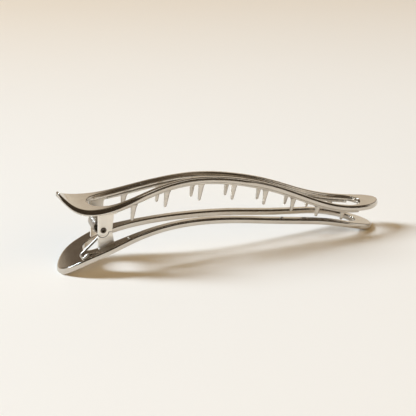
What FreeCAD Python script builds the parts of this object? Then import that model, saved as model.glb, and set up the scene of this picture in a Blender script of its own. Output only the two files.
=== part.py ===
import FreeCAD, Part
import math
import os

# Alligator hair clip: two long hollow leaf-shaped jaws on one hinge pin, closed by a coil spring.
# Millimetres. +X runs from the finger grips to the nose, +Y across the clip, +Z up.
# The origin is on the resting surface, under the middle of the clip's length and width.
# The clip is closed, and rests on the two ends of its lower jaw.

Vec = FreeCAD.Vector
Z_AXIS = Vec(0, 0, 1)

# --- jaws, seen from the side: height of the top face at points along X, from past one tip to past
# the other ---
upper_line = [(-62.4, 31.5), (-60.1, 28.9), (-58.0, 26.7), (-55.5, 24.9), (-49.5, 23.5), (-41.5, 24.1),
              (-30.0, 26.7), (-15.0, 28.7), (0.5, 27.0), (15.5, 22.7), (28.5, 17.3), (38.5, 13.6),
              (48.5, 11.5), (62.5, 11.2)]
lower_line = [(-62.5, -0.7), (-60.3, 1.1), (-56.5, 4.2), (-51.0, 7.1), (-44.0, 9.7), (-34.5, 12.1),
              (-22.5, 13.6), (-9.0, 13.6), (2.0, 12.6), (14.5, 10.8), (27.5, 9.1), (37.5, 7.6),
              (47.0, 5.1), (58.9, 1.3), (61.0, 0.6)]
upper_thickness = 2.0
lower_thickness = 2.1
tall = 60.0            # blocks that cut or trim the jaws run well past them, by these lengths
wide = 12.0

# --- jaws, seen from above: the grip's and the nose's tips, and half-widths at points between them ---
upper_tips = (-60.1, 60.3)
lower_tips = (-60.3, 58.9)
upper_widths = [(-58.4, 2.9), (-55.5, 5.9), (-51.0, 7.3), (-45.0, 7.2), (-38.0, 6.2), (-30.0, 4.7),
                (-21.0, 3.5), (-9.5, 3.0), (3.0, 3.1), (15.5, 3.6), (27.0, 4.6), (37.0, 5.8),
                (45.0, 6.0), (52.0, 5.3), (57.5, 3.6)]
lower_widths = [(-59.2, 3.4), (-56.5, 6.0), (-51.5, 7.6), (-44.5, 8.2), (-35.0, 6.5), (-22.5, 4.6),
                (-11.0, 4.1), (2.0, 4.4), (14.5, 4.8), (27.5, 5.4), (37.0, 6.0), (46.5, 6.1),
                (53.0, 4.9), (57.2, 3.1)]

# --- slots through the jaws: half-width at points along X, ends excluded ---
upper_slot_ends = (-50.0, 52.3)
upper_slot = [(-48.6, 2.9), (-46.0, 4.2), (-42.0, 4.7), (-36.5, 4.2), (-29.0, 3.0), (-20.0, 2.0),
              (-9.5, 1.5), (3.0, 1.6), (15.5, 2.1), (27.0, 3.0), (37.0, 4.1), (45.0, 4.3), (50.4, 2.9)]
lower_slot_ends = (-51.4, 51.2)
lower_slot = [(-50.0, 2.6), (-47.5, 3.7), (-43.0, 4.2), (-35.0, 3.8), (-26.0, 2.8), (-18.0, 2.1),
              (-9.5, 1.9), (2.0, 2.2), (14.5, 2.6), (27.5, 3.3), (37.0, 4.0), (44.5, 4.1), (49.3, 2.8)]

# --- tooth combs under the upper jaw's rails ---
comb_span = (-41.7, 50.0)
comb_inset = 0.7       # from the frame's outer edge to the comb's outer face
comb_width = 1.1
comb_height = 0.9
front_teeth = [-35.7, -23.6, -11.2, 0.9, 12.9, 23.6, 33.1, 43.3]       # middles of the teeth's roots
back_teeth = [-36.2, -24.8, -12.8, -0.2, 12.4, 24.0, 33.5, 43.3]
tooth_lengths = [5.4, 5.7, 5.9, 5.4, 5.4, 4.7, 3.6]    # below the comb; the last tooth is the closed stop
tooth_base = 2.1
tooth_tip = 0.85
tooth_width = 0.9
stop_gap = 0.1         # from the last tooth to the lower jaw

# --- hinge ---
pin_x = -46.35
pin_z = 15.6
pin_radius = 0.75
pin_clearance = 0.05   # radial, in the lower ears, which turn on the pin
head_radius = 1.0
head_height = 0.3
head_rounding = 0.18
recess_radius = 0.5    # of the shallow hole in each end of the pin
recess_depth = 0.6
ear_thickness = 1.0
upper_ear_face = 6.1   # distance of the upper ears' outer faces from the middle
lower_ear_face = 5.0   # the same for the lower ears, which stand just inside the upper ones
ear_left = -48.05      # the upper ears' upright edge, on the grips' side
lower_ear_left = -47.7
upper_ear_right = (-41.9, -43.4)       # at the frame and at the shoulder
upper_ear_shoulder = 14.7
lobe_radius = 2.1      # of the upper ears' round ends
lobe_drop = 0.6        # of that round's centre below the pin
lobe_shift = 0.1       # and towards the grips
upper_foot = 0.45      # how far the upper ears' feet stand out under the frame
lower_ear_right = (-42.4, -43.4)       # at the foot and level with the pin
weld_radius = 0.35     # of the rounded weld bead outside each lower ear's foot

# --- spring ---
wire_diameter = 0.9
coil_radius = 2.3      # of the wire's centre line
coil_turns = 6         # full turns, before the part turn between the two legs
coil_pitch = 0.93
leg_gap = 0.05         # from a leg's foot to the jaw that it presses on
lower_leg_x = -53.4    # where each leg meets its jaw
upper_leg_x = -51.4
foot_bend = 0.8        # centre-line radius of the bend between a leg and its foot
foot_length = 1.5      # straight stretch of each foot, which lies outwards across its grip
hook_length = 1.2      # end of each foot, turned back beside its leg


def spline(points, closed=False):
    """One smooth curve through the points, as an edge. A closed one runs on smoothly into its start."""
    curve = Part.BSplineCurve()
    curve.interpolate(Points=points, PeriodicFlag=closed)
    return curve.toShape()


def crossing(edge, first, last):
    """The point where an edge meets the straight line from first to last."""
    gap, pairs, kinds = edge.distToShape(Part.LineSegment(first, last).toShape())
    return pairs[0][0]


def height_at(line, x):
    """Height of a jaw's top face at x."""
    return crossing(spline([Vec(px, 0, pz) for px, pz in line]), Vec(x, 0, -tall), Vec(x, 0, tall)).z


def ribbon(line, top, bottom):
    """A bent sheet as wide as any jaw, between two depths under a jaw's top line."""
    upper = spline([Vec(x, -wide, z - top) for x, z in line])
    lower = spline([Vec(x, -wide, z - bottom) for x, z in line])
    sides = []
    for x, z in (line[0], line[-1]):
        sides.append(Part.LineSegment(Vec(x, -wide, z - top), Vec(x, -wide, z - bottom)).toShape())
    wire = Part.Wire(Part.__sortEdges__([upper, lower] + sides))
    return Part.Face(wire).extrude(Vec(0, 2 * wide, 0))


def leaf(widths, ends, pointed=False):
    """A tall block with a leaf-shaped outline, round at the nose, and round or pointed at the grip."""
    tip = Vec(ends[0], 0, 0)
    front = [Vec(x, -y, 0) for x, y in widths]
    back = [Vec(x, y, 0) for x, y in reversed(widths)]
    points = [tip] + front + [Vec(ends[1], 0, 0)] + back
    if pointed:
        points.append(tip)
    outline = spline(points, closed=not pointed)
    return Part.Face(Part.Wire(outline)).extrude(Z_AXIS * tall)


def make_upper_frame():
    """The upper jaw: a bent sheet cut to a leaf with a pointed grip, and slotted."""
    sheet = ribbon(upper_line, 0, upper_thickness).common(leaf(upper_widths, upper_tips, pointed=True))
    return sheet.cut(leaf(upper_slot, upper_slot_ends))


def make_lower_frame():
    """The lower jaw: a bent sheet cut to a leaf and slotted, its two ends ground flat where they rest."""
    sheet = ribbon(lower_line, 0, lower_thickness).common(leaf(lower_widths, lower_tips))
    below = Part.makeBox(4 * tall, 2 * wide, tall, Vec(-2 * tall, -wide, -tall))
    return sheet.cut(leaf(lower_slot, lower_slot_ends)).cut(below)


def comb_edge(inset, side):
    """A line that follows the upper jaw's outline, inset from it, on the side +1 or -1."""
    straight = [(x, y) for x, y in upper_widths if upper_slot_ends[0] < x < upper_slot_ends[1]]
    return spline([Vec(x, side * (y - inset), 0) for x, y in straight])


def width_at(x):
    """The upper jaw's half-width at x."""
    return crossing(comb_edge(0, 1), Vec(x, 0, 0), Vec(x, wide, 0)).y


def make_tooth(x, length, side):
    """A tapered tooth with an upright grip side, a slanted nose side and a round tip."""
    root = height_at(upper_line, x) - upper_thickness - comb_height
    tip = root - length
    left = x - tooth_base / 2
    radius = tooth_tip / 2
    top = root + comb_height / 2
    outline = [Part.LineSegment(Vec(left, 0, top), Vec(left, 0, tip + radius)),
               Part.Arc(Vec(left, 0, tip + radius), Vec(left + radius, 0, tip),
                        Vec(left + tooth_tip, 0, tip + radius)),
               Part.LineSegment(Vec(left + tooth_tip, 0, tip + radius), Vec(left + tooth_base, 0, root)),
               Part.LineSegment(Vec(left + tooth_base, 0, root), Vec(left + tooth_base, 0, top)),
               Part.LineSegment(Vec(left + tooth_base, 0, top), Vec(left, 0, top))]
    wire = Part.Wire([edge.toShape() for edge in outline])
    tooth = Part.Face(wire).extrude(Vec(0, tooth_width, 0))
    middle = side * (width_at(x) - comb_inset - comb_width / 2)
    tooth.translate(Vec(0, middle - tooth_width / 2, 0))
    return tooth


def make_comb(side, stations):
    """A rail that follows the upper jaw's edge, with its row of teeth."""
    outer = comb_edge(comb_inset, side)
    inner = comb_edge(comb_inset + comb_width, side)
    caps = []
    for index in (0, -1):
        caps.append(Part.LineSegment(outer.Vertexes[index].Point, inner.Vertexes[index].Point).toShape())
    band = Part.Face(Part.Wire(Part.__sortEdges__([outer, inner] + caps))).extrude(Z_AXIS * tall)
    span = side_box(comb_span[0], comb_span[1], 0, wide, side)
    rail = ribbon(upper_line, upper_thickness, upper_thickness + comb_height).common(band).common(span)
    stop_x = stations[-1]
    stop_height = height_at(upper_line, stop_x) - upper_thickness - comb_height
    stop_length = stop_height - height_at(lower_line, stop_x - tooth_base / 2) - stop_gap
    teeth = []
    for x, length in zip(stations, tooth_lengths + [stop_length]):
        teeth.append(make_tooth(x, length, side))
    return rail.fuse(teeth).removeSplitter()


def bore(radius):
    """A long cylinder on the hinge axis."""
    return Part.makeCylinder(radius, 2 * wide, Vec(pin_x, -wide, pin_z), Vec(0, 1, 0))


def side_box(left, right, near, far, side):
    """A tall box from left to right, between two distances from the middle on one side."""
    low = near if side > 0 else -far
    return Part.makeBox(right - left, far - near, tall, Vec(left, low, 0))


def ear_tab(points, side, outer_face):
    """An upright plate in XZ, one ear thick, whose outer face is outer_face from the middle."""
    low = outer_face - ear_thickness if side > 0 else -outer_face
    wire = Part.makePolygon([Vec(x, low, z) for x, z in points + points[:1]])
    return Part.Face(wire).extrude(Vec(0, ear_thickness, 0))


def ear_round(x, z, radius, side, outer_face, left):
    """The round end of an ear, cut off upright at left."""
    low = outer_face - ear_thickness if side > 0 else -outer_face
    disc = Part.makeCylinder(radius, ear_thickness, Vec(x, low, z), Vec(0, 1, 0))
    return disc.common(side_box(left, left + tall, 0, wide, side))


def make_upper_ear(side):
    """An outer hinge ear: a tapered tab with a round end, hung from a shallow foot under the frame."""
    right_top, right_low = upper_ear_right
    top = upper_line[0][1]
    tab = ear_tab([(ear_left, upper_ear_shoulder), (right_low, upper_ear_shoulder), (right_top, top),
                   (ear_left, top)], side, upper_ear_face)
    lobe = ear_round(pin_x - lobe_shift, pin_z - lobe_drop, lobe_radius, side, upper_ear_face, ear_left)
    ear = tab.fuse(lobe).common(ribbon(upper_line, upper_thickness, tall))
    foot = side_box(ear_left, right_top, upper_ear_face - ear_thickness, upper_ear_face + upper_foot, side)
    foot = foot.common(ribbon(upper_line, upper_thickness, upper_thickness + comb_height))
    return ear.fuse(foot).cut(bore(pin_radius)).removeSplitter()


def make_lower_ear(side):
    """An inner hinge ear: an upright tab with a round top, welded by its foot to the lower grip."""
    foot_right, level_right = lower_ear_right
    foot_z = height_at(lower_line, foot_right)
    slope = (level_right - foot_right) / (pin_z - foot_z)
    tab = ear_tab([(lower_ear_left, 0), (foot_right - slope * foot_z, 0), (level_right, pin_z),
                   (lower_ear_left, pin_z)], side, lower_ear_face)
    top = ear_round(pin_x, pin_z, level_right - pin_x, side, lower_ear_face, lower_ear_left)
    start_z = height_at(lower_line, lower_ear_left)
    start = Vec(lower_ear_left, side * lower_ear_face, start_z)
    along = Vec(foot_right, side * lower_ear_face, foot_z) - start
    bead = Part.makeCylinder(weld_radius, along.Length, start, along)
    ear = tab.fuse([top, bead]).common(ribbon(lower_line, -tall, 0))
    return ear.cut(bore(pin_radius + pin_clearance)).removeSplitter()


def make_pin():
    """The hinge pin, with a low rounded head against each upper ear and a shallow hole in each end."""
    pin = Part.makeCylinder(pin_radius, 2 * upper_ear_face, Vec(pin_x, -upper_ear_face, pin_z), Vec(0, 1, 0))
    heads = []
    recesses = []
    for side in (1, -1):
        seat = Vec(pin_x, side * upper_ear_face, pin_z)
        head = Part.makeCylinder(head_radius, head_height, seat, Vec(0, side, 0))
        outer = [edge for edge in head.Edges if abs(edge.CenterOfMass.y) > upper_ear_face + head_height / 2]
        heads.append(head.makeFillet(head_rounding, outer))
        end = Vec(pin_x, side * (upper_ear_face + head_height), pin_z)
        recesses.append(Part.makeCylinder(recess_radius, recess_depth, end, Vec(0, -side, 0)))
    return pin.fuse(heads).removeSplitter().cut(recesses)


def rod(start, direction, length):
    """A straight stretch of spring wire."""
    return Part.makeCylinder(wire_diameter / 2, length, start, direction)


def elbow(start, direction, towards):
    """A quarter bend of spring wire, from direction to towards, and the point where it ends."""
    disc = Part.Face(Part.Wire(Part.Circle(start, direction, wire_diameter / 2).toShape()))
    centre = start + towards * foot_bend
    return disc.revolve(centre, direction.cross(towards), 90), centre + direction * foot_bend


def leg(start, direction, length, towards):
    """A leg of the spring: a straight run, a foot turned sideways and a round-ended hook turned back."""
    bend, foot_start = elbow(start + direction * length, direction, towards)
    turn, hook_start = elbow(foot_start + towards * foot_length, towards, -direction)
    hook_end = hook_start - direction * hook_length
    return [rod(start, direction, length), bend, rod(foot_start, towards, foot_length), turn,
            rod(hook_start, -direction, hook_length), Part.makeSphere(wire_diameter / 2, hook_end)]


def touch_angle(foot_x, foot_z, side):
    """The angle round the pin, from +X towards +Z, where a line from a foot touches the coil."""
    dx = foot_x - pin_x
    dz = foot_z - pin_z
    return math.atan2(dz, dx) + side * math.acos(coil_radius / math.hypot(dx, dz))


def make_spring():
    """A coil round the pin. Its front leg runs to the lower grip and its back leg to the upper one."""
    reach = wire_diameter / 2 + leg_gap
    lower_foot_z = height_at(lower_line, lower_leg_x) + reach
    upper_foot_z = height_at(upper_line, upper_leg_x) - upper_thickness - reach
    first = touch_angle(lower_leg_x, lower_foot_z, 1)
    last = touch_angle(upper_leg_x, upper_foot_z, -1)
    first = (first + math.pi) % (2 * math.pi) - math.pi
    turns = coil_turns + (last - first) / (2 * math.pi)
    half = turns * coil_pitch / 2
    line = Part.makeHelix(coil_pitch, 2 * half, coil_radius, 0, True)
    climb = coil_pitch / (2 * math.pi * coil_radius)
    disc = Part.Wire(Part.Circle(Vec(coil_radius, 0, 0), Vec(0, -1, climb), wire_diameter / 2).toShape())
    coil = Part.Wire(line.Edges).makePipeShell([disc], True, True)
    coil.rotate(Vec(0, 0, 0), Vec(1, 0, 0), -90)
    coil.rotate(Vec(0, 0, 0), Vec(0, 1, 0), -math.degrees(first))
    coil.translate(Vec(pin_x, -half, pin_z))
    pieces = []
    for angle, y, sign, foot_x, foot_z in ((first, -half, -1, lower_leg_x, lower_foot_z),
                                           (last, half, 1, upper_leg_x, upper_foot_z)):
        start = Vec(pin_x + coil_radius * math.cos(angle), y, pin_z + coil_radius * math.sin(angle))
        direction = Vec(-math.sin(angle), climb, math.cos(angle)) * sign
        direction.normalize()
        length = math.hypot(foot_x - start.x, foot_z - start.z) - foot_bend
        outwards = Vec(0, sign, 0)
        towards = outwards - direction * outwards.dot(direction)
        towards.normalize()
        pieces += leg(start, direction, length, towards)
    return coil.fuse(pieces).removeSplitter()


parts = {
    "upper_frame": make_upper_frame(),
    "tooth_comb_front": make_comb(-1, front_teeth),
    "tooth_comb_back": make_comb(1, back_teeth),
    "upper_ear_front": make_upper_ear(-1),
    "upper_ear_back": make_upper_ear(1),
    "lower_frame": make_lower_frame(),
    "lower_ear_front": make_lower_ear(-1),
    "lower_ear_back": make_lower_ear(1),
    "hinge_pin": make_pin(),
    "torsion_spring": make_spring(),
}

os.makedirs("parts", exist_ok=True)
for name, shape in parts.items():
    box = shape.BoundBox
    print(name, shape.ShapeType, len(shape.Solids), shape.isValid(), round(shape.Volume, 2),
          [round(v, 2) for v in (box.XMin, box.XMax, box.YMin, box.YMax, box.ZMin, box.ZMax)])
    shape.exportStep("parts/" + name + ".step")
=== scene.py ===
import math

import bmesh
import bpy
import numpy as np
from mathutils import Matrix, Vector


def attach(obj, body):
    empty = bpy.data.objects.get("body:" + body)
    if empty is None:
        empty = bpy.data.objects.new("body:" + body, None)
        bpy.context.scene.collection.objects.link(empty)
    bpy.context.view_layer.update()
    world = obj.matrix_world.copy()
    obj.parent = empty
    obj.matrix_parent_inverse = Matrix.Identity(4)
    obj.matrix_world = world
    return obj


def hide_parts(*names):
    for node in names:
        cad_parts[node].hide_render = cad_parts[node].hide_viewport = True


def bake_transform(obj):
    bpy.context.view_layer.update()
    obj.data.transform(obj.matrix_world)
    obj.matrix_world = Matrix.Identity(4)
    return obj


# Visual model of a polished metal alligator hair clip, closed, on a pale table.
# Shapes are worked out in millimetres in the clip's own frame: +X from the finger grips to the nose,
# +Y across it, +Z up from the table. MM turns them into metres when a mesh is made.

MM = 0.001

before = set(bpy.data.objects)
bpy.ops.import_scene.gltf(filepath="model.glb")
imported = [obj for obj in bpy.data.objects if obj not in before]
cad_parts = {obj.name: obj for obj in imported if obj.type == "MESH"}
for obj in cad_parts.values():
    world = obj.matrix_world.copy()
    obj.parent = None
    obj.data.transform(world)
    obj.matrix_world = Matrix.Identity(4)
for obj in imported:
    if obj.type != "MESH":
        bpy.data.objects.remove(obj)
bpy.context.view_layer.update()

# --- jaws seen from the side: points on the line that each jaw's top face follows ---
UPPER_LINE = [(-62.4, 31.5), (-60.1, 28.9), (-58.0, 26.7), (-55.5, 24.9), (-49.5, 23.5), (-41.5, 24.1),
              (-30.0, 26.7), (-15.0, 28.7), (0.5, 27.0), (15.5, 22.7), (28.5, 17.3), (38.5, 13.6),
              (48.5, 11.5), (62.5, 11.2)]
LOWER_LINE = [(-62.5, -0.7), (-60.3, 1.1), (-56.5, 4.2), (-51.0, 7.1), (-44.0, 9.7), (-34.5, 12.1),
              (-22.5, 13.6), (-9.0, 13.6), (2.0, 12.6), (14.5, 10.8), (27.5, 9.1), (37.5, 7.6),
              (47.0, 5.1), (58.9, 1.3), (61.0, 0.6)]
UPPER_THICKNESS = 2.0
LOWER_THICKNESS = 2.1

# --- jaws seen from above: the tips of each outline and its half-widths between them ---
UPPER_TIPS = (-60.1, 60.3)
UPPER_WIDTHS = [(-58.4, 2.9), (-55.5, 5.9), (-51.0, 7.3), (-45.0, 7.2), (-38.0, 6.2), (-30.0, 4.7),
                (-21.0, 3.5), (-9.5, 3.0), (3.0, 3.1), (15.5, 3.6), (27.0, 4.6), (37.0, 5.8),
                (45.0, 6.0), (52.0, 5.3), (57.5, 3.6)]
UPPER_SLOT_ENDS = (-50.0, 52.3)
UPPER_SLOT = [(-48.6, 2.9), (-46.0, 4.2), (-42.0, 4.7), (-36.5, 4.2), (-29.0, 3.0), (-20.0, 2.0),
              (-9.5, 1.5), (3.0, 1.6), (15.5, 2.1), (27.0, 3.0), (37.0, 4.1), (45.0, 4.3), (50.4, 2.9)]
LOWER_TIPS = (-60.3, 58.9)
LOWER_WIDTHS = [(-59.2, 3.4), (-56.5, 6.0), (-51.5, 7.6), (-44.5, 8.2), (-35.0, 6.5), (-22.5, 4.6),
                (-11.0, 4.1), (2.0, 4.4), (14.5, 4.8), (27.5, 5.4), (37.0, 6.0), (46.5, 6.1),
                (53.0, 4.9), (57.2, 3.1)]
LOWER_SLOT_ENDS = (-51.4, 51.2)
LOWER_SLOT = [(-50.0, 2.6), (-47.5, 3.7), (-43.0, 4.2), (-35.0, 3.8), (-26.0, 2.8), (-18.0, 2.1),
              (-9.5, 1.9), (2.0, 2.2), (14.5, 2.6), (27.5, 3.3), (37.0, 4.0), (44.5, 4.1), (49.3, 2.8)]

# --- the plates' rounded edges ---
# how far the upright part of an edge stays inside the CAD outline
EDGE_MARGIN = 0.04
# the shoulder from the top face to the upright part, in shares of a rim's inset and drop
SHOULDER = [(1.0, 0.0), (0.78, 0.04), (0.62, 0.19), (0.42, 0.47), (0.2, 0.76)]
LOW_ROUNDING = 0.3
RIM_STEPS = 22
# rims at points along x: (x, the shoulder's inset, its drop)
UPPER_RIM = [(-59.8, 0.45, 1.0), (-58.4, 0.8, 1.5), (-48.0, 0.8, 1.5), (-32.0, 0.45, 1.5),
             (5.0, 0.45, 1.5), (20.0, 0.32, 0.9), (40.0, 0.38, 0.9), (50.0, 0.45, 1.0), (60.0, 0.6, 1.2)]
UPPER_SLOT_RIM = [(-50.0, 0.4, 1.2), (-44.0, 0.5, 1.5), (-30.0, 0.5, 1.5), (-15.0, 0.4, 1.2),
                  (5.0, 0.35, 1.0), (20.0, 0.45, 1.4), (35.0, 0.5, 1.5), (50.0, 0.4, 1.3)]
LOWER_RIM = [(-45.0, 0.3, 0.7), (-32.0, 0.4, 1.05), (50.0, 0.4, 1.05)]
LOWER_SLOT_RIM = [(-30.0, 0.25, 0.65), (-10.0, 0.3, 0.7), (10.0, 0.35, 0.85), (50.0, 0.35, 0.85)]

# --- tooth combs ---
COMB_SPAN = (-41.7, 50.0)
COMB_INSET = 0.7
COMB_WIDTH = 1.1
COMB_HEIGHT = 0.9
COMB_ROUNDING = 0.3
FRONT_TEETH = [-35.7, -23.6, -11.2, 0.9, 12.9, 23.6, 33.1, 43.3]
BACK_TEETH = [-36.2, -24.8, -12.8, -0.2, 12.4, 24.0, 33.5, 43.3]
TOOTH_LENGTHS = [5.4, 5.7, 5.9, 5.4, 5.4, 4.7, 3.6]
TOOTH_BASE = 2.1
TOOTH_TIP = 0.85
TOOTH_WIDTH = 0.9
TOOTH_DOME = 0.5       # height of a tooth's rounded tip
FLARE = 0.35           # of a tooth where it meets the rail, fading out over FLARE_HEIGHT
FLARE_HEIGHT = 0.7
STOP_GAP = 0.1

# --- hinge and spring ---
PIN_X = -46.35
PIN_Z = 15.6
PIN_RADIUS = 0.75
EAR_FACE = 6.1
OUTER_EAR_ROUNDING = 0.25
INNER_EAR_ROUNDING = 0.22
HEAD_RADIUS = 1.0
HEAD_HEIGHT = 0.3
WIRE_RADIUS = 0.45
COIL_RADIUS = 2.3
COIL_TURNS = 6
COIL_PITCH = 0.93
LEG_GAP = 0.05
LOWER_LEG_X = -53.4
UPPER_LEG_X = -51.4
FOOT_BEND = 0.8
FOOT_LENGTH = 1.5
HOOK_LENGTH = 1.2

# --- materials ---
EAR_COLOURS = (0.98, 0.925, 0.84), (0.93, 0.875, 0.79)
# the colour of the painted shade line
SHADE_LINE_COLOUR = (0.07, 0.055, 0.04)
# painted shade: a dark line on the outer ears along their lobes' lower edge, where they meet the ears
# behind them; it lies outside a radius round a point (x, z), and under a height
EAR_SHADE_LINE = (PIN_X - 0.1, PIN_Z - 0.6, 1.75, 14.95)
# painted shade on the teeth's slanted sides: normals that lean along an axis, from start to end, and their
# darker colour
COMB_SIDE_SHADE = ("X", 0.05, 0.6, (0.34, 0.28, 0.22))
EAR_ROUGHNESS = 0.48

# --- table: how far it reaches to the sides and behind the clip, and to its front ---
TABLE_REACH = 900.0
TABLE_FRONT = 540.0

# --- light: powers in watts, and the room's colours over the sine of a direction's elevation ---
WINDOW_POWER = 252.0
FILL_POWER = 42.0
ROOM_DARK = (0.07, 0.05, 0.035)
BACK_STOPS = [(0.0, (0.80, 0.71, 0.585)), (0.33, (0.77, 0.68, 0.56)), (0.515, (0.16, 0.125, 0.092)),
              (0.85, (0.09, 0.07, 0.05)), (0.95, (0.35, 0.28, 0.19)), (1.0, (0.35, 0.28, 0.19))]
FRONT_STOPS = [(0.0, (0.06, 0.045, 0.03)), (0.60, (0.06, 0.045, 0.03)), (0.72, (0.14, 0.11, 0.08)),
               (0.82, (0.07, 0.05, 0.035)), (0.95, (0.35, 0.28, 0.19)), (1.0, (0.35, 0.28, 0.19))]
# how far the back's dark upper part comes down towards the left
BACK_TILT = -0.35

# --- camera: the point it looks at, from where, and its lens on a 36 mm sensor ---
VIEW_TARGET = Vector((-7.59, 0.0, 15.65))
VIEW_AZIMUTH = math.radians(23.56)
VIEW_ELEVATION = math.radians(24.98)
VIEW_ROLL = math.radians(3.0)
VIEW_DISTANCE = 317.0
SENSOR = 36.0
LENS = 80.4

# a mix node's colour sockets go by number, because its other sockets have the same names
MIX_FIRST = 6
MIX_SECOND = 7
MIX_RESULT = 2


class Curve:
    """A smooth cubic curve through points, evaluated by a parameter that follows chord length."""

    def __init__(self, points, closed=False):
        p = np.array(points, float)
        if closed:
            p = np.vstack([p, p[:1]])
        h = np.linalg.norm(np.diff(p, axis=0), axis=1)
        slope = np.diff(p, axis=0) / h[:, None]
        n = len(p)
        a = np.zeros((n, n))
        b = np.zeros_like(p)
        for i in range(1, n - 1):
            a[i, i - 1] = h[i]
            a[i, i] = 2 * (h[i - 1] + h[i])
            a[i, i + 1] = h[i - 1]
            b[i] = 3 * (h[i] * slope[i - 1] + h[i - 1] * slope[i])
        if closed:
            a[0, 0] = 1
            a[0, -1] = -1
            a[-1, -2] += h[0]
            a[-1, 0] += 2 * (h[-1] + h[0])
            a[-1, 1] += h[-1]
            b[-1] = 3 * (h[0] * slope[-1] + h[-1] * slope[0])
        else:
            a[0, 0] = 1
            b[0] = slope[0] + (slope[0] - slope[1]) * h[0] / (h[0] + h[1])
            a[-1, -1] = 1
            b[-1] = slope[-1] + (slope[-1] - slope[-2]) * h[-1] / (h[-1] + h[-2])
        self.tangents = np.linalg.solve(a, b)
        self.points = p
        self.steps = h
        self.knots = np.concatenate([[0], np.cumsum(h)])

    def at(self, t):
        """Points at values of the parameter."""
        t = np.atleast_1d(np.asarray(t, float))
        i = np.clip(np.searchsorted(self.knots, t, side="right") - 1, 0, len(self.steps) - 1)
        h = self.steps[i][:, None]
        s = (t - self.knots[i])[:, None] / h
        p0 = self.points[i]
        p1 = self.points[i + 1]
        m0 = self.tangents[i] * h
        m1 = self.tangents[i + 1] * h
        return (p0 * (2 * s**3 - 3 * s**2 + 1) + m0 * (s**3 - 2 * s**2 + s)
                + p1 * (-2 * s**3 + 3 * s**2) + m1 * (s**3 - s**2))

    def sample(self, count):
        """Points at even steps of the parameter, both ends included."""
        return self.at(np.linspace(0, self.knots[-1], count))


class Heights:
    """Height of a jaw's top face over x."""

    def __init__(self, line):
        self.table = Curve(line).sample(4000)

    def __call__(self, x):
        return np.interp(x, self.table[:, 0], self.table[:, 1])


upper_top = Heights(UPPER_LINE)
lower_top = Heights(LOWER_LINE)


def outline(widths, tips, pointed=False):
    """The closed outline of a leaf: tip, front side, nose, back side."""
    front = [(x, -y) for x, y in widths]
    back = [(x, y) for x, y in reversed(widths)]
    points = [(tips[0], 0)] + front + [(tips[1], 0)] + back
    if pointed:
        points.append((tips[0], 0))
    return Curve(points, closed=not pointed)


def new_object(name, vertices, faces, smooth=True):
    """A mesh object from vertices in millimetres."""
    mesh = bpy.data.meshes.new(name)
    mesh.from_pydata([tuple(v) for v in np.asarray(vertices) * MM], [], faces)
    mesh.validate()
    mesh.polygons.foreach_set("use_smooth", [smooth] * len(mesh.polygons))
    obj = bpy.data.objects.new(name, mesh)
    bpy.context.scene.collection.objects.link(obj)
    return obj


def ring_faces(rings, across, closed_rings=True):
    """Quads between consecutive closed loops of vertices."""
    faces = []
    last = rings if closed_rings else rings - 1
    for i in range(last):
        j = (i + 1) % rings
        for k in range(across):
            m = (k + 1) % across
            faces.append((i * across + k, i * across + m, j * across + m, j * across + k))
    return faces


def rim(thickness, inset, drop):
    """A plate's edge, from top to bottom: a rounded shoulder, an upright side and a rounded foot.

    Its points are (distance in from the edge, depth).
    """
    points = [(inset * reach, drop * fall) for reach, fall in SHOULDER]
    points += [(EDGE_MARGIN, drop), (EDGE_MARGIN, thickness - LOW_ROUNDING),
               (LOW_ROUNDING * 0.3, thickness - LOW_ROUNDING * 0.3), (LOW_ROUNDING, thickness)]
    profile = Curve(points).sample(RIM_STEPS + 1)
    profile[:, 0] = np.maximum(profile[:, 0], EDGE_MARGIN)
    return [tuple(p) for p in profile]


def mixed(rims, thickness, x):
    """Insets and depths of a rim's points at each x, changing evenly between the listed rims."""
    places = np.array([place for place, inset, drop in rims])
    profiles = np.array([rim(thickness, inset, drop) for place, inset, drop in rims])
    index = np.clip(np.searchsorted(places, x) - 1, 0, len(places) - 2)
    share = np.clip((x - places[index]) / (places[index + 1] - places[index]), 0, 1)[:, None, None]
    return profiles[index] * (1 - share) + profiles[index + 1] * share


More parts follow.
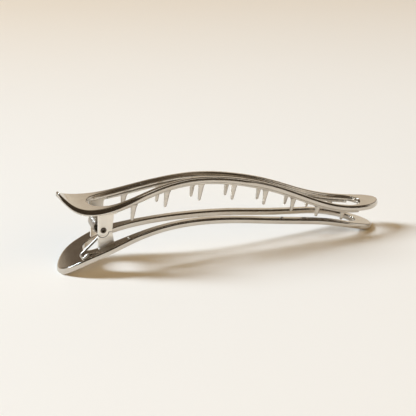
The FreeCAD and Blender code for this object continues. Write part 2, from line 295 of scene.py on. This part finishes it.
def jaw(name, outer, inner, height, thickness, outer_rim, inner_rim, stations=560, floor=None):
    """A slotted plate that follows a height line, built as sections across it, all round its slot.

    Nothing of it goes below the floor, if one is given.
    """
    edge_steps = 4000
    flat_steps = 16
    parallel = 1e-12
    slack = 1e-9
    slot_points = inner.sample(stations + 1)[:-1]
    ahead = np.roll(slot_points, -1, axis=0)
    behind = np.roll(slot_points, 1, axis=0)
    tangent = ahead - behind
    tangent /= np.linalg.norm(tangent, axis=1)[:, None]
    normal = np.stack([tangent[:, 1], -tangent[:, 0]], axis=1)
    edge = outer.sample(edge_steps + 1)
    a = edge[:-1]
    d = edge[1:] - a
    rows = []
    for p, n in zip(slot_points, normal):
        cross = d[:, 0] * n[1] - d[:, 1] * n[0]
        cross = np.where(np.abs(cross) < parallel, parallel, cross)
        w = a - p
        reach = (d[:, 0] * w[:, 1] - d[:, 1] * w[:, 0]) / cross
        along = (n[0] * w[:, 1] - n[1] * w[:, 0]) / cross
        hit = (along >= -slack) & (along <= 1 + slack) & (reach > 0)
        rows.append(p + n * reach[hit].min())
    edge_points = np.array(rows)
    span = np.linalg.norm(edge_points - slot_points, axis=1)
    out = (edge_points - slot_points) / span[:, None]
    edge_rim = mixed(outer_rim, thickness, edge_points[:, 0])
    slot_rim = mixed(inner_rim, thickness, slot_points[:, 0])
    columns = []

    def column(distance, depth):
        """One point of every section, at a distance out from the slot and a depth under the top face."""
        xy = slot_points + out * distance[:, None]
        z = height(xy[:, 0]) - depth
        columns.append(np.column_stack([xy, z]))

    for k in reversed(range(slot_rim.shape[1])):
        column(slot_rim[:, k, 0], slot_rim[:, k, 1])
    for k in range(1, flat_steps):
        share = k / flat_steps
        column(slot_rim[:, 0, 0] * (1 - share) + (span - edge_rim[:, 0, 0]) * share, 0.0)
    for k in range(edge_rim.shape[1]):
        column(span - edge_rim[:, k, 0], edge_rim[:, k, 1])
    for k in range(1, flat_steps):
        share = k / flat_steps
        column((span - edge_rim[:, -1, 0]) * (1 - share) + slot_rim[:, -1, 0] * share, thickness)
    vertices = np.stack(columns, axis=1)
    across = len(columns)
    if floor is not None:
        vertices[:, :, 2] = np.maximum(vertices[:, :, 2], floor)
    faces = ring_faces(stations, across)
    return new_object(name, vertices.reshape(-1, 3), faces)


def tube(name, path, radius, around=16):
    """A round wire along a path of points, with domed ends."""
    dome_steps = 5
    not_along = [0.3, 0.2, 0.9]
    path = np.asarray(path, float)
    tangent = np.gradient(path, axis=0)
    tangent /= np.linalg.norm(tangent, axis=1)[:, None]
    side = np.cross(tangent[0], not_along)
    side /= np.linalg.norm(side)
    rings = []
    ring_angles = np.linspace(0, 2 * math.pi, around, endpoint=False)

    def ring(point, t, s, r):
        up = np.cross(t, s)
        return [point + r * (math.cos(q) * s + math.sin(q) * up) for q in ring_angles]

    for k in reversed(range(1, dome_steps)):
        angle = math.pi / 2 * k / dome_steps
        rings.append(ring(path[0] - tangent[0] * radius * math.sin(angle), tangent[0], side,
                          radius * math.cos(angle)))
    for p, t in zip(path, tangent):
        side = side - t * np.dot(side, t)
        side /= np.linalg.norm(side)
        rings.append(ring(p, t, side, radius))
    for k in range(1, dome_steps):
        angle = math.pi / 2 * k / dome_steps
        rings.append(ring(path[-1] + tangent[-1] * radius * math.sin(angle), tangent[-1], side,
                          radius * math.cos(angle)))
    count = len(rings)
    vertices = np.array(rings).reshape(-1, 3)
    faces = ring_faces(count, around, closed_rings=False)
    start = path[0] - tangent[0] * radius
    end = path[-1] + tangent[-1] * radius
    vertices = np.vstack([vertices, start, end])
    first = len(vertices) - 2
    last = len(vertices) - 1
    for k in range(around):
        m = (k + 1) % around
        faces.append((first, m, k))
        faces.append((last, (count - 1) * around + k, (count - 1) * around + m))
    return new_object(name, vertices, faces)


def loft(rings):
    """Vertices and faces of a closed form through rings of points, capped at both ends."""
    across = len(rings[0])
    count = len(rings)
    vertices = [tuple(p) for r in rings for p in r]
    faces = ring_faces(count, across, closed_rings=False)
    faces.append(tuple(reversed(range(across))))
    faces.append(tuple((count - 1) * across + k for k in range(across)))
    return vertices, faces


def tooth(x, y, length):
    """A tapered tooth: upright on the grips' side, slanted on the nose's side, rounded all over."""
    side_steps = 8
    dome_steps = 6
    around = 20
    roundness = 0.7
    root = float(upper_top(x)) - UPPER_THICKNESS - COMB_HEIGHT
    rings = []
    # each level's height, and how far the tooth has shrunk there into its domed tip
    levels = [(root + COMB_HEIGHT * 0.6, 1.0), (root, 1.0)]
    for i in range(1, side_steps + 1):
        levels.append((root - (length - TOOTH_DOME) * i / side_steps, 1.0))
    for i in range(1, dome_steps):
        a = math.pi / 2 * i / dome_steps
        levels.append((root - length + TOOTH_DOME - TOOTH_DOME * math.sin(a), math.cos(a)))
    for z, shrink in levels:
        depth = min(max((root - z) / length, 0.0), 1.0)
        width = TOOTH_BASE + (TOOTH_TIP - TOOTH_BASE) * depth
        flare = FLARE * max(0.0, 1 - max(root - z, 0.0) / FLARE_HEIGHT) ** 2
        left = x - TOOTH_BASE / 2 - flare * 0.6
        right = x - TOOTH_BASE / 2 + width + flare * 0.6
        centre = (left + right) / 2
        half_x = (right - left) / 2 * shrink
        half_y = (TOOTH_WIDTH / 2 + flare * 0.1) * shrink
        ring = []
        for k in range(around):
            a = 2 * math.pi * k / around
            c, s = math.cos(a), math.sin(a)
            ring.append((centre + half_x * math.copysign(abs(c) ** roundness, c),
                         y + half_y * math.copysign(abs(s) ** roundness, s), z))
        rings.append(ring)
    return loft(rings)


def comb(name, side, stations):
    """The toothed rail under one side of the upper jaw."""
    inner = [(x, y) for x, y in UPPER_WIDTHS if UPPER_SLOT_ENDS[0] < x < UPPER_SLOT_ENDS[1]]
    edge = Curve(inner).sample(1200)
    edge = edge[(edge[:, 0] > COMB_SPAN[0]) & (edge[:, 0] < COMB_SPAN[1])][::4]
    tangent = np.gradient(edge, axis=0)
    tangent /= np.linalg.norm(tangent, axis=1)[:, None]
    inward = np.stack([tangent[:, 1], -tangent[:, 0]], axis=1)
    corner_steps = 4
    section = []
    corners = [(0, 0, 180), (COMB_WIDTH, 0, 270), (COMB_WIDTH, COMB_HEIGHT, 0), (0, COMB_HEIGHT, 90)]
    for u, d, start in corners:
        cu = u + COMB_ROUNDING if u == 0 else u - COMB_ROUNDING
        cd = d + COMB_ROUNDING if d == 0 else d - COMB_ROUNDING
        for i in range(corner_steps + 1):
            a = math.radians(start + 90 * i / corner_steps)
            section.append((cu + COMB_ROUNDING * math.cos(a), cd + COMB_ROUNDING * math.sin(a)))
    rings = []
    for p, n in zip(edge, inward):
        ring = []
        for u, d in section:
            xy = p + n * (COMB_INSET + u)
            z = float(upper_top(xy[0])) - UPPER_THICKNESS - d
            ring.append((xy[0], side * xy[1], z))
        rings.append(ring)
    vertices, faces = loft(rings)
    stop_x = stations[-1]
    stop = (float(upper_top(stop_x)) - UPPER_THICKNESS - COMB_HEIGHT
            - float(lower_top(stop_x - TOOTH_BASE / 2)) - STOP_GAP)
    for x, length in zip(stations, TOOTH_LENGTHS + [stop]):
        y = np.interp(x, edge[:, 0], edge[:, 1]) - COMB_INSET - COMB_WIDTH / 2
        more, quads = tooth(x, side * y, length)
        base = len(vertices)
        vertices += more
        faces += [tuple(base + v for v in f) for f in quads]
    return new_object(name, vertices, faces)


def softened(name, node, width, clamp):
    """A copy of a flat-faced CAD node with its flat faces made whole and its edges rounded.

    A clamped rounding shrinks wherever an edge is too short for its width.
    """
    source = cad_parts[node]
    bm = bmesh.new()
    bm.from_mesh(source.data)
    bmesh.ops.remove_doubles(bm, verts=bm.verts, dist=1e-6)
    bmesh.ops.dissolve_limit(bm, angle_limit=math.radians(1.0), verts=bm.verts, edges=bm.edges)
    mesh = bpy.data.meshes.new(name)
    bm.to_mesh(mesh)
    bm.free()
    mesh.materials.clear()
    mesh.polygons.foreach_set("use_smooth", [True] * len(mesh.polygons))
    obj = bpy.data.objects.new(name, mesh)
    bpy.context.scene.collection.objects.link(obj)
    bevel = obj.modifiers.new("rounding", "BEVEL")
    bevel.width = width * MM
    bevel.segments = 4
    bevel.limit_method = "ANGLE"
    bevel.angle_limit = math.radians(40)
    bevel.use_clamp_overlap = clamp
    bevel.harden_normals = True
    return obj


def pin(name):
    """The hinge pin, a rivet with a shallow dished recess in each low domed head."""
    # distance from the axis, and height over the ear's face
    profile = [(0.0, -0.42), (0.3, -0.4), (0.5, -0.25), (0.56, 0.1), (0.62, 0.24), (0.75, HEAD_HEIGHT),
               (0.88, 0.26), (0.97, 0.15), (HEAD_RADIUS, 0.0)]
    steps = 48
    rows = []
    for r, h in profile:
        rows.append((r, EAR_FACE + h))
    for r, h in reversed(profile):
        rows.append((r, -EAR_FACE - h))
    shank = [(PIN_RADIUS, EAR_FACE), (PIN_RADIUS, -EAR_FACE)]
    rows = rows[:len(profile)] + shank + rows[len(profile):]
    vertices = []
    for r, y in rows[1:-1]:
        for k in range(steps):
            a = 2 * math.pi * k / steps
            vertices.append((PIN_X + r * math.cos(a), y, PIN_Z + r * math.sin(a)))
    count = len(rows) - 2
    faces = ring_faces(count, steps, closed_rings=False)
    middle = len(vertices)
    vertices.append((PIN_X, rows[0][1], PIN_Z))
    vertices.append((PIN_X, rows[-1][1], PIN_Z))
    for k in range(steps):
        m = (k + 1) % steps
        faces.append((middle, m, k))
        faces.append((middle + 1, (count - 1) * steps + k, (count - 1) * steps + m))
    return new_object(name, vertices, faces)


def spring_path():
    """The spring's centre line, from the end of its front foot to that of its back foot, and half the
    coil's length."""
    turn_steps = 40
    leg_steps = 11
    bend_steps = 8
    foot_steps = 4
    reach = WIRE_RADIUS + LEG_GAP
    feet = []
    for x, z, turn in ((LOWER_LEG_X, float(lower_top(LOWER_LEG_X)) + reach, 1),
                       (UPPER_LEG_X, float(upper_top(UPPER_LEG_X)) - UPPER_THICKNESS - reach, -1)):
        dx = x - PIN_X
        dz = z - PIN_Z
        feet.append((x, z, math.atan2(dz, dx) + turn * math.acos(COIL_RADIUS / math.hypot(dx, dz))))
    first = (feet[0][2] + math.pi) % (2 * math.pi) - math.pi
    last = feet[1][2]
    turns = COIL_TURNS + (last - first) / (2 * math.pi)
    half = turns * COIL_PITCH / 2
    climb = COIL_PITCH / (2 * math.pi * COIL_RADIUS)
    coil = []
    count = int(turns * turn_steps)
    for i in range(count + 1):
        a = first + 2 * math.pi * turns * i / count
        coil.append((PIN_X + COIL_RADIUS * math.cos(a), -half + 2 * half * i / count,
                     PIN_Z + COIL_RADIUS * math.sin(a)))

    def leg(angle, y, sign, x, z):
        """A straight run from the coil to the foot at (x, z), the foot and its hook."""
        start = np.array([PIN_X + COIL_RADIUS * math.cos(angle), y, PIN_Z + COIL_RADIUS * math.sin(angle)])
        direction = sign * np.array([-math.sin(angle), climb, math.cos(angle)])
        direction /= np.linalg.norm(direction)
        length = math.hypot(x - start[0], z - start[2]) - FOOT_BEND
        towards = np.array([0.0, sign, 0.0])
        towards -= direction * np.dot(towards, direction)
        towards /= np.linalg.norm(towards)
        points = []
        for s in np.linspace(0, 1, leg_steps + 1)[1:]:
            points.append(start + direction * length * s)

        def bend(at, old, new):
            for q in np.linspace(0, math.pi / 2, bend_steps + 1)[1:]:
                points.append(at + FOOT_BEND * (math.sin(q) * old + (1 - math.cos(q)) * new))
            return points[-1]

        here = bend(points[-1], direction, towards)
        for s in np.linspace(0, 1, foot_steps + 1)[1:]:
            points.append(here + towards * FOOT_LENGTH * s)
        here = bend(points[-1], towards, -direction)
        for s in (0.5, 1.0):
            points.append(here - direction * HOOK_LENGTH * s)
        return points

    front = leg(first, -half, -1, feet[0][0], feet[0][1])
    back = leg(last, half, 1, feet[1][0], feet[1][1])
    return list(reversed(front)) + coil + back, half


# --- materials ---
def map_range(tree, value, start, end, low=0.0, high=1.0):
    """A value carried evenly from start-end to low-high."""
    node = tree.nodes.new("ShaderNodeMapRange")
    node.inputs["From Min"].default_value = start
    node.inputs["From Max"].default_value = end
    node.inputs["To Min"].default_value = low
    node.inputs["To Max"].default_value = high
    tree.links.new(value, node.inputs["Value"])
    return node


def colour_mix(tree, factor, first, second, kind="MIX"):
    """The colour between a first and a second one. Each is a socket or a tuple."""
    node = tree.nodes.new("ShaderNodeMix")
    node.data_type = "RGBA"
    node.blend_type = kind
    tree.links.new(factor, node.inputs["Factor"])
    for index, colour in ((MIX_FIRST, first), (MIX_SECOND, second)):
        if isinstance(colour, tuple):
            node.inputs[index].default_value = (*colour, 1)
        else:
            tree.links.new(colour, node.inputs[index])
    return node.outputs[MIX_RESULT]


def coordinates(tree, vector):
    """The X, Y and Z of a vector, as sockets by name."""
    node = tree.nodes.new("ShaderNodeSeparateXYZ")
    tree.links.new(vector, node.inputs["Vector"])
    return node.outputs


def noise(tree, vector, scale, detail):
    """A noise texture."""
    node = tree.nodes.new("ShaderNodeTexNoise")
    node.inputs["Scale"].default_value = scale
    node.inputs["Detail"].default_value = detail
    tree.links.new(vector, node.inputs["Vector"])
    return node


def shade_leaning_faces(tree, place, surface, side_shade):
    """The surface's colour with painted shade: darker on faces whose normal leans one way along an axis.
    """
    axis, start, end, shade_colour = side_shade
    leaning = map_range(tree, coordinates(tree, place.outputs["Normal"])[axis], start, end)
    return colour_mix(tree, leaning.outputs["Result"], surface, shade_colour)


def painted_shade_line(tree, place, surface, shade_line):
    """The surface's colour with a painted shade line: dark outside a radius round a point (x, z) and under
    a height.
    """
    x, z, radius, height = (value * MM for value in shade_line)
    start = 0.05 * MM
    end = 0.1 * MM
    flat = tree.nodes.new("ShaderNodeVectorMath")
    flat.operation = "MULTIPLY_ADD"
    tree.links.new(place.outputs["Object"], flat.inputs[0])
    flat.inputs[1].default_value = (1, 0, 1)
    flat.inputs[2].default_value = (-x, 0, -z)
    distance = tree.nodes.new("ShaderNodeVectorMath")
    distance.operation = "LENGTH"
    tree.links.new(flat.outputs["Vector"], distance.inputs[0])
    outside = map_range(tree, distance.outputs["Value"], radius - start, radius + end)
    below = map_range(tree, coordinates(tree, place.outputs["Object"])["Z"], height + start, height - end)
    both = tree.nodes.new("ShaderNodeMath")
    both.operation = "MULTIPLY"
    tree.links.new(outside.outputs["Result"], both.inputs[0])
    tree.links.new(below.outputs["Result"], both.inputs[1])
    return colour_mix(tree, both.outputs["Value"], surface, SHADE_LINE_COLOUR)


def metal(name, colour, dark, roughness, side_shade=None, shade_line=None):
    """Polished plated metal: soft tarnish, scratches in its gloss, fine pitting, and painted shade on
    faces that lean one way or in a line, where asked for.
    """
    material = bpy.data.materials.new(name)
    material.use_nodes = True
    tree = material.node_tree
    shader = tree.nodes["Principled BSDF"]
    shader.inputs["Metallic"].default_value = 1.0
    place = tree.nodes.new("ShaderNodeTexCoord")
    # tarnish: broad soft patches between the clean and the duller metal
    patches = noise(tree, place.outputs["Object"], 140.0, 5.0)
    patches.inputs["Roughness"].default_value = 0.6
    tone = tree.nodes.new("ShaderNodeValToRGB")
    tone.color_ramp.elements[0].position = 0.35
    tone.color_ramp.elements[0].color = (*dark, 1)
    tone.color_ramp.elements[1].position = 0.62
    tone.color_ramp.elements[1].color = (*colour, 1)
    tree.links.new(patches.outputs["Fac"], tone.inputs["Fac"])
    surface = tone.outputs["Color"]
    # painted shade on faces that lean one way, if asked for
    if side_shade is not None:
        surface = shade_leaning_faces(tree, place, surface, side_shade)
    # a painted shade line, if one is given
    if shade_line is not None:
        surface = painted_shade_line(tree, place, surface, shade_line)
    tree.links.new(surface, shader.inputs["Base Color"])
    # scratches: noise stretched along the clip, which makes the metal more or less rough
    stretch = tree.nodes.new("ShaderNodeMapping")
    stretch.inputs["Scale"].default_value = (90.0, 1500.0, 1500.0)
    tree.links.new(place.outputs["Object"], stretch.inputs["Vector"])
    lines = noise(tree, stretch.outputs["Vector"], 1.0, 3.0)
    rough = map_range(tree, lines.outputs["Fac"], 0.3, 0.75, roughness * 0.8, roughness * 1.35)
    tree.links.new(rough.outputs["Result"], shader.inputs["Roughness"])
    # relief: fine pitting
    pits = noise(tree, place.outputs["Object"], 900.0, 2.0)
    bump = tree.nodes.new("ShaderNodeBump")
    bump.inputs["Strength"].default_value = 0.25
    bump.inputs["Distance"].default_value = 0.02 * MM
    tree.links.new(pits.outputs["Fac"], bump.inputs["Height"])
    tree.links.new(bump.outputs["Normal"], shader.inputs["Normal"])
    return material


frame_metal = metal("plated_nickel", (0.65, 0.605, 0.54), (0.58, 0.53, 0.465), 0.12)
# the outer ears get a painted shade line along their lobes' lower edge
outer_ear_metal = metal("brushed_nickel_outer_painted_shade", *EAR_COLOURS, EAR_ROUGHNESS, shade_line=EAR_SHADE_LINE)
inner_ear_metal = metal("brushed_nickel_inner", *EAR_COLOURS, EAR_ROUGHNESS)
# the teeth get painted shade on their slanted sides, which face the nose
comb_metal = metal("plated_nickel_comb_painted_shade", (0.70, 0.65, 0.58), (0.58, 0.53, 0.46), 0.3, side_shade=COMB_SIDE_SHADE)
pin_metal = metal("dark_rivet_steel", (0.30, 0.26, 0.22), (0.18, 0.15, 0.12), 0.3)
wire_metal = metal("bright_spring_wire", (0.50, 0.455, 0.395), (0.40, 0.36, 0.31), 0.3)


# --- pieces ---
def piece(obj, body, node, material):
    """A visible piece: its material, the body that it rides on and the CAD node that it replaces."""
    obj.data.materials.append(material)
    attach(obj, body)
    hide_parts(node)


upper_plate = jaw("upper_jaw_plate", outline(UPPER_WIDTHS, UPPER_TIPS, pointed=True),
                  outline(UPPER_SLOT, UPPER_SLOT_ENDS), upper_top, UPPER_THICKNESS, UPPER_RIM,
                  UPPER_SLOT_RIM)
piece(upper_plate, "upper_jaw", "upper_frame", frame_metal)
lower_plate = jaw("lower_jaw_plate", outline(LOWER_WIDTHS, LOWER_TIPS),
                  outline(LOWER_SLOT, LOWER_SLOT_ENDS), lower_top, LOWER_THICKNESS, LOWER_RIM,
                  LOWER_SLOT_RIM, floor=0.0)
piece(lower_plate, "lower_jaw", "lower_frame", frame_metal)
for side, word, stations in ((-1, "front", FRONT_TEETH), (1, "back", BACK_TEETH)):
    toothed_rail = comb("comb_" + word, side, stations)
    piece(toothed_rail, "upper_jaw", "tooth_comb_" + word, comb_metal)
    outer_ear = softened("outer_ear_" + word, "upper_ear_" + word, OUTER_EAR_ROUNDING, clamp=False)
    piece(outer_ear, "upper_jaw", "upper_ear_" + word, outer_ear_metal)
    inner_ear = softened("inner_ear_" + word, "lower_ear_" + word, INNER_EAR_ROUNDING, clamp=True)
    piece(inner_ear, "lower_jaw", "lower_ear_" + word, inner_ear_metal)
piece(pin("rivet"), "upper_jaw", "hinge_pin", pin_metal)

path, coil_half = spring_path()
spring = tube("spring_wire", path, WIRE_RADIUS)
spring.data.materials.append(wire_metal)
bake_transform(spring)
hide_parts("torsion_spring")


# --- table ---
def table_top():
    """The pale table, with painted shade that makes its far part a little darker and warmer, where the
    light falls off.
    """
    corners = [(-TABLE_REACH, -TABLE_FRONT, 0), (TABLE_REACH, -TABLE_FRONT, 0),
               (TABLE_REACH, TABLE_REACH, 0), (-TABLE_REACH, TABLE_REACH, 0)]
    obj = new_object("table", corners, [(0, 1, 2, 3)], smooth=False)
    material = bpy.data.materials.new("cream_table_painted_falloff")
    material.use_nodes = True
    tree = material.node_tree
    shader = tree.nodes["Principled BSDF"]
    shader.inputs["Roughness"].default_value = 0.75
    shader.inputs["Specular IOR Level"].default_value = 0.15
    place = tree.nodes.new("ShaderNodeTexCoord")
    cloud = noise(tree, place.outputs["Object"], 6.0, 4.0)
    tone = tree.nodes.new("ShaderNodeValToRGB")
    tone.color_ramp.elements[0].color = (0.90, 0.855, 0.785, 1)
    tone.color_ramp.elements[1].color = (0.92, 0.875, 0.805, 1)
    tree.links.new(cloud.outputs["Fac"], tone.inputs["Fac"])
    # painted shade: the light's falloff over the far part of the table
    far = map_range(tree, coordinates(tree, place.outputs["Object"])["Y"], 0.03, 0.55)
    far.interpolation_type = "SMOOTHSTEP"
    shade = colour_mix(tree, far.outputs["Result"], tone.outputs["Color"], (0.84, 0.72, 0.58), "MULTIPLY")
    tree.links.new(shade, shader.inputs["Base Color"])
    obj.data.materials.append(material)


table_top()


# --- light ---
def area_light(name, place, size, power, colour, mirrored=True):
    """A rectangular soft light, its place and size (width, height) in metres, shining at the clip."""
    lamp = bpy.data.lights.new(name, "AREA")
    lamp.shape = "RECTANGLE"
    lamp.size, lamp.size_y = size
    lamp.energy = power
    lamp.color = colour
    obj = bpy.data.objects.new(name, lamp)
    obj.location = place
    obj.rotation_euler = Vector(place).to_track_quat("Z", "Y").to_euler()
    obj.visible_glossy = mirrored
    bpy.context.scene.collection.objects.link(obj)


area_light("window", (-3.0, 1.32, 2.3), (0.7, 2.0), WINDOW_POWER, (0.72, 0.84, 0.98))
# warm light from the room's near side, kept out of the metal's reflections
area_light("fill", (1.5, -2.2, 1.8), (4.0, 2.5), FILL_POWER, (1.0, 0.66, 0.25), mirrored=False)


def room_colour(tree, height, stops):
    """A colour ramp over the height of a direction."""
    ramp = tree.nodes.new("ShaderNodeValToRGB")
    ramp.color_ramp.interpolation = "EASE"
    elements = ramp.color_ramp.elements
    for index in (0, -1):
        elements[index].position = stops[index][0]
        elements[index].color = (*stops[index][1], 1)
    for position, colour in stops[1:-1]:
        elements.new(position).color = (*colour, 1)
    tree.links.new(height, ramp.inputs["Fac"])
    return ramp.outputs["Color"]


def surroundings():
    """The room: bright low down at the back, and dark above it, at the right and behind the camera."""
    world = bpy.data.worlds.new("room")
    bpy.context.scene.world = world
    world.use_nodes = True
    tree = world.node_tree
    background = tree.nodes["Background"]
    place = tree.nodes.new("ShaderNodeTexCoord")
    parts = coordinates(tree, place.outputs["Generated"])
    tilt = tree.nodes.new("ShaderNodeMath")
    tilt.operation = "MULTIPLY_ADD"
    tilt.inputs[1].default_value = BACK_TILT
    tree.links.new(parts["X"], tilt.inputs[0])
    tree.links.new(parts["Z"], tilt.inputs[2])
    back = room_colour(tree, tilt.outputs["Value"], BACK_STOPS)
    front = room_colour(tree, parts["Z"], FRONT_STOPS)
    backwards = map_range(tree, parts["Y"], -0.3, 0.2)
    both = colour_mix(tree, backwards.outputs["Result"], front, back)
    right = map_range(tree, parts["X"], 0.67, 0.84)
    dimmed = colour_mix(tree, right.outputs["Result"], both, ROOM_DARK)
    tree.links.new(dimmed, background.inputs["Color"])
    background.inputs["Strength"].default_value = 1.0


surroundings()


# --- camera ---
def camera():
    """A camera that looks at VIEW_TARGET from the front left, rolled a little."""
    forward = Vector((math.sin(VIEW_AZIMUTH) * math.cos(VIEW_ELEVATION),
                      math.cos(VIEW_AZIMUTH) * math.cos(VIEW_ELEVATION), -math.sin(VIEW_ELEVATION)))
    right = Vector((math.cos(VIEW_AZIMUTH), -math.sin(VIEW_AZIMUTH), 0))
    up = right.cross(forward)
    c, s = math.cos(VIEW_ROLL), math.sin(VIEW_ROLL)
    rolled_right = right * c + up * s
    rolled_up = up * c - right * s
    eye = VIEW_TARGET - forward * VIEW_DISTANCE
    data = bpy.data.cameras.new("camera")
    data.sensor_width = SENSOR
    data.lens = LENS
    data.clip_start = 0.01
    obj = bpy.data.objects.new("camera", data)
    turn = Matrix((rolled_right, rolled_up, -forward)).transposed()
    obj.matrix_world = Matrix.Translation(eye * MM) @ turn.to_4x4()
    bpy.context.scene.collection.objects.link(obj)
    bpy.context.scene.camera = obj


camera()
bpy.context.scene.view_settings.view_transform = "Standard"
bpy.context.view_layer.update()
